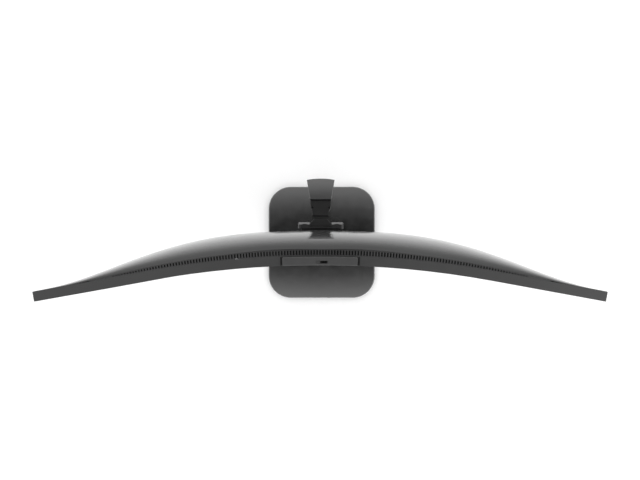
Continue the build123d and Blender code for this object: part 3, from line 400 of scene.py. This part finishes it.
def hoop(shape, section, centre, axis):
    """A ring: a closed section of (radius, height) points turned about an axis."""
    turn = Vector((0, 0, 1)).rotation_difference(Vector(axis)).to_matrix()
    rows = []
    for i in range(64):
        angle = 2 * math.pi * i / 64
        points = [Vector((r * math.cos(angle), r * math.sin(angle), h)) for r, h in section]
        rows.append([shape.verts.new(Vector(centre) + turn @ point) for point in points])
    for row, after in zip(rows, rows[1:] + rows[:1]):
        for j in range(len(row)):
            k = (j + 1) % len(row)
            shape.faces.new((row[j], row[k], after[k], after[j]))


def make_webcam_face():
    """Lens ring, indicator and two microphone holes on the webcam's window."""
    low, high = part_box("webcam_lens")
    height = (low[2] + high[2]) / 2
    inner, outer, thick, edge = 0.0034, 0.0046, 0.0005, 0.0003
    section = [(inner, 0.0), (outer, 0.0), (outer, thick - edge),
               (outer - edge, thick), (inner + edge, thick), (inner, thick - edge)]
    shape = bmesh.new()
    hoop(shape, section, (0, FRONT_Y + CAM_FACE, height), (0, -1, 0))
    piece("webcam_lens_ring", shape, "head", "screw_black")
    shape = bmesh.new()
    profile = [(0.0010, 0.0), (0.0010, 0.0003), (0.0006, 0.0003), (0.0005, 0.0001)]
    for along in (-0.03, 0.03):
        lathe(shape, profile, (*plan_point(along, CAM_FACE), height), "-Y", 24)
    piece("webcam_mics", shape, "head", "speaker_black")
    shape = bmesh.new()
    profile = [(0.0009, 0.0), (0.0009, 0.0002), (0.0005, 0.00035)]
    lathe(shape, profile, (*plan_point(0.0125, CAM_FACE), height), "-Y", 24)
    piece("webcam_indicator", shape, "head", "led_clear")


def make_shutter_marks():
    """Two small raised rings on the shutter's thumb tab, for grip."""
    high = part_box("webcam_shutter")[1]
    inner, outer, sunk, proud = 0.0008, 0.0013, -0.0001, 0.00012
    section = [(inner, sunk), (outer, sunk), (outer, proud), (inner, proud)]
    shape = bmesh.new()
    for inset in (outer, outer + 0.0025):
        hoop(shape, section, (high[0] - inset, TAB_Y, high[2]), (0, 0, 1))
    piece("shutter_marks", shape, "shutter", "speaker_black")


def cross(shape, centre, axis, reach, width, depth):
    """A cross-shaped driver recess."""
    half = [(reach, -width), (reach, width), (width, width),
            (width, reach), (-width, reach), (-width, width)]
    outline = half + [(-a, -b) for a, b in half]
    rings = []
    for height in (-depth, depth):
        steps = [(a, b, height) if axis == "Z" else (a, height, b) for a, b in outline]
        rings.append([Vector(centre) + Vector(step) for step in steps])
    skin(shape, rings)


def make_screws(name, node, places, axis, head_r, head, shank_r, shank, body):
    """Pan-head screws with a cross recess, in place of plain ones."""
    shape = bmesh.new()
    profile = [(shank_r, -head - shank), (shank_r, -head), (head_r, -head),
               (head_r, -0.45 * head), (0.86 * head_r, -0.12 * head), (0.6 * head_r, 0.0)]
    for place in places:
        lathe(shape, profile, place, axis, 40)
    made = piece(name, shape, body, SLOT_OF[node])
    cutter = bmesh.new()
    for place in places:
        cross(cutter, place, axis, 0.62 * head_r, 0.14 * head_r, 0.6 * head)
    carve(made, cutter)
    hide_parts(node)


def make_all_screws():
    """Screws of the cover and of the arm."""
    low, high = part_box("cover_screws")
    radius = 0.0032
    xs = (low[0] + radius, high[0] - radius)
    zs = (low[2] + radius, high[2] - radius)
    places = [(x, high[1], z) for x in xs for z in zs]
    make_screws("cover_screw_set", "cover_screws", places, "Y", radius, 0.0018, 0.0015, 0.007, "head")
    low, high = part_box("arm_screws")
    radius = (high[1] - low[1]) / 2
    xs = (low[0] + radius, high[0] - radius)
    middle = (low[1] + high[1]) / 2
    places = [(x, middle, high[2]) for x in xs]
    make_screws("arm_screw_set", "arm_screws", places, "Z", radius, 0.0009, 0.00095, 0.006, "carriage")


SOCKET_Y = -0.004
CONTACTS = {
    "hdmi_ports": (-0.104, -0.082),
    "displayport": (-0.060,),
    "usb_c_port": (-0.040,),
    "usb_a_ports": (-0.022, -0.004),
}


def make_socket_contacts():
    """Rows of gilt contacts along the tongue in each socket."""
    shape = bmesh.new()
    for node, places in CONTACTS.items():
        low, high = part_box(node)
        width = (high[0] - low[0]) - (places[-1] - places[0])
        span = width - 0.0050
        depth = high[1] - low[1]
        count = 4 if node == "usb_a_ports" else 9
        reach = 0.15 * (depth - 0.0012)
        for x in places:
            for i in range(count):
                at = x + span * ((i + 0.5) / count - 0.5)
                half = 0.25 * span / count
                front = SOCKET_Y + reach
                block(shape, (at - half, front, low[2] + 0.0022), (at + half, front + 0.0002, low[2] + 0.009))
    low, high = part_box("network_port")
    pitch, half, front = 0.00102, 0.00022, low[1] + 0.0007
    for i in range(8):
        x = (low[0] + high[0]) / 2 + (i - 3.5) * pitch
        block(shape, (x - half, front, low[2] + 0.002), (x + half, front + 0.0005, low[2] + 0.010))
    piece("socket_contacts", shape, "head", "port_metal")


# ---------------------------------------------------------------- stand pieces
SWIVEL_Y = 0.081


def make_thumb_screw():
    """Knurled captive screw under the base, with a coin slot."""
    low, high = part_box("thumb_screw")
    radius = (high[0] - low[0]) / 2
    thick, shank_r = 0.0025, 0.003
    shape = bmesh.new()
    profile = [(radius - 0.0008, 0.0), (radius, 0.0005), (radius, thick - 0.0004),
               (radius - 0.0006, thick), (shank_r, thick), (shank_r, high[2] - low[2])]
    lathe(shape, profile, (0, SWIVEL_Y, low[2]), "Z", 288, flutes=36, cut=0.0006)
    made = piece("thumb_screw_knurled", shape, "column", "steel_bright")
    cutter = bmesh.new()
    slot_half, slot_width, slot_depth = 0.008, 0.0009, 0.0013
    block(cutter, (-slot_half, SWIVEL_Y - slot_width, low[2] - 0.001),
          (slot_half, SWIVEL_Y + slot_width, low[2] + slot_depth))
    carve(made, cutter)
    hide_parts("thumb_screw")


FEET = ((-0.082, -0.088), (0.082, -0.088), (-0.082, 0.088), (0.082, 0.088), (0, -0.096))


def make_feet():
    """Rubber pads with a rounded rim and two moulded rings."""
    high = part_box("base_feet")[1][2]
    shape = bmesh.new()
    profile = [(0.0022, 0.0004), (0.0030, 0.0), (0.0046, 0.0), (0.0050, 0.0004), (0.0058, 0.0004),
               (0.0062, 0.0), (0.0084, 0.0), (0.0089, 0.0003), (0.009, 0.0007), (0.009, high)]
    for x, y in FEET:
        lathe(shape, profile, (x, y, 0), "Z", 56)
    made = piece("base_pads", shape, "base", "foot_rubber")
    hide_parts("base_feet")


def make_release_ribs():
    """Grip ribs under the quick-release button."""
    low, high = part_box("release_button")
    shape = bmesh.new()
    pitch, half, inset = 0.0026, 0.0006, 0.0012
    for i in range(5):
        x = (low[0] + high[0]) / 2 + (i - 2) * pitch
        block(shape, (x - half, low[1] + inset, low[2] - 0.0004),
              (x + half, high[1] - inset, low[2] + 0.0002), 0.0002)
    piece("release_ribs", shape, "release", "stand_plastic")


PIN_RADIUS = 0.0025
PLATE_UP = 0.015        # top of the plate above the tilt axis


def make_hinge_cap():
    """Dark moulded cap over the hinge, a trapezoid that narrows towards the arm."""
    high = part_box("mount_plate")[1]
    wide, narrow = 0.0176, 0.0108
    front, waist, rear = 0.0227, 0.0261, high[1] + 0.0003
    outline = [(-wide, front), (-wide, waist), (-narrow, rear), (narrow, rear), (wide, waist), (wide, front)]
    centre = Vector((0, (front + rear) / 2))
    shape = bmesh.new()
    rings = []
    for height, inset in ((-0.0028, 0.0), (0.0001, 0.0), (0.0004, 0.00015), (0.0005, 0.0006)):
        corners = [Vector(point) for point in outline]
        drawn_in = [corner - inset * (corner - centre).normalized() for corner in corners]
        rings.append([(*corner, high[2] + height) for corner in drawn_in])
    skin(shape, rings)
    piece("hinge_cap_cover", shape, "head", "arm_plastic", sharp=0.2)


def make_plate_lips():
    """Sloping satin lips along the top rear edge of the quick-release plate, beside the hinge."""
    low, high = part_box("mount_plate")
    half = (high[0] - low[0]) / 2
    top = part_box("tilt_pin")[1][2] - PIN_RADIUS + PLATE_UP
    front, rear = 0.0246, 0.0283
    outline = [(front, top + 0.0005), (rear, top - 0.0002), (rear, top - 0.0012), (front, top - 0.0006)]
    shape = bmesh.new()
    for side in (-1, 1):
        ends = (side * 0.0178, side * (half - 0.0015))
        skin(shape, [[(x, y, z) for y, z in outline] for x in ends])
    bmesh.ops.bevel(shape, geom=shape.edges[:], offset=0.00015, segments=2, profile=0.5, affect="EDGES")
    piece("plate_lips", shape, "head", "stand_plastic")


def soften(name, width):
    """Breaks the sharp moulded edges of a CAD node."""
    made = NODES[name].modifiers.new("edges", "BEVEL")
    made.width = width
    made.segments = 2
    made.limit_method = "ANGLE"
    made.angle_limit = 0.7
    made.use_clamp_overlap = True
    made.harden_normals = True


soften("front_frame", 0.0004)
soften("webcam_housing", 0.0005)
soften("port_bay", 0.0003)
make_hinge_cap()
make_plate_lips()
make_vent_shade_sheet()
make_webcam_end_shade()
make_webcam_face()
make_shutter_marks()
make_all_screws()
make_socket_contacts()
make_thumb_screw()
make_feet()
make_release_ribs()

# ---------------------------------------------------------------- floor, light and camera
# Brightness overhead by angle from straight up, in degrees, widest first.
OVERHEAD = (
    (24, 1.0), (17, 0.9), (13, 0.66), (11.3, 0.44), (9.5, 0.29),
    (8, 0.19), (6.5, 0.1), (5, 0.05), (0, 0.02),
)
OVERHEAD_LEAN = 0.8     # degrees


def make_floor():
    """A plain pale floor."""
    bpy.ops.mesh.primitive_plane_add(size=8.0, location=(0, 0, 0))
    floor = bpy.context.object
    floor.name = "floor"
    material, tree, shader, place = new_material("floor")
    tones = two_tone(tree, noise(tree, place, 3.0), grey(0.955), grey(0.965))
    tree.links.new(tones, shader.inputs["Base Color"])
    shader.inputs["Roughness"].default_value = 0.9
    shader.inputs["Specular IOR Level"].default_value = 0.1
    floor.data.materials.append(material)


def make_area(name, place, target, size, power):
    """A soft square light that looks at a point."""
    light = bpy.data.lights.new(name, "AREA")
    light.size = size
    light.energy = power
    lamp = bpy.data.objects.new(name, light)
    lamp.location = place
    lamp.rotation_euler = (Vector(target) - Vector(place)).to_track_quat("-Z", "Y").to_euler()
    bpy.context.scene.collection.objects.link(lamp)


def make_world(strength):
    """White surroundings, darker straight overhead."""
    world = bpy.data.worlds.new("studio")
    world.use_nodes = True
    tree = world.node_tree
    background = tree.nodes["Background"]
    background.inputs["Strength"].default_value = strength
    direction = tree.nodes.new("ShaderNodeTexCoord")
    lean = tree.nodes.new("ShaderNodeMapping")
    lean.inputs["Rotation"].default_value = (math.radians(OVERHEAD_LEAN), 0, 0)
    split = tree.nodes.new("ShaderNodeSeparateXYZ")
    ramp = tree.nodes.new("ShaderNodeValToRGB")
    tree.links.new(direction.outputs["Generated"], lean.inputs["Vector"])
    tree.links.new(lean.outputs["Vector"], split.inputs["Vector"])
    tree.links.new(split.outputs["Z"], ramp.inputs["Fac"])
    tree.links.new(ramp.outputs["Color"], background.inputs["Color"])
    stops = [(math.cos(math.radians(angle)), tone) for angle, tone in OVERHEAD]
    ramp.color_ramp.elements[0].position = stops[0][0]
    ramp.color_ramp.elements[0].color = (*grey(stops[0][1]), 1)
    ramp.color_ramp.elements[1].position = 1.0
    ramp.color_ramp.elements[1].color = (*grey(stops[-1][1]), 1)
    for position, tone in stops[1:-1]:
        ramp.color_ramp.elements.new(position).color = (*grey(tone), 1)
    bpy.context.scene.world = world


IMAGE_WIDTH = 640


def make_camera():
    """Looks straight down from about 1.1 m above the top edge of the head."""
    camera = bpy.data.cameras.new("camera")
    camera.lens = 44.44
    camera.sensor_width = 36.0
    camera.shift_x = -5 / IMAGE_WIDTH
    camera.shift_y = 10 / IMAGE_WIDTH
    holder = bpy.data.objects.new("camera", camera)
    holder.location = (0.007, -0.0165, 1.695)
    holder.rotation_euler = (0, 0, 0)
    bpy.context.scene.collection.objects.link(holder)
    bpy.context.scene.camera = holder


make_floor()
make_world(1.3)
make_area("key", (1.6, -0.6, 2.6), (0, 0, 0.4), 1.6, 6)
make_camera()
bpy.context.scene.view_settings.view_transform = "Standard"
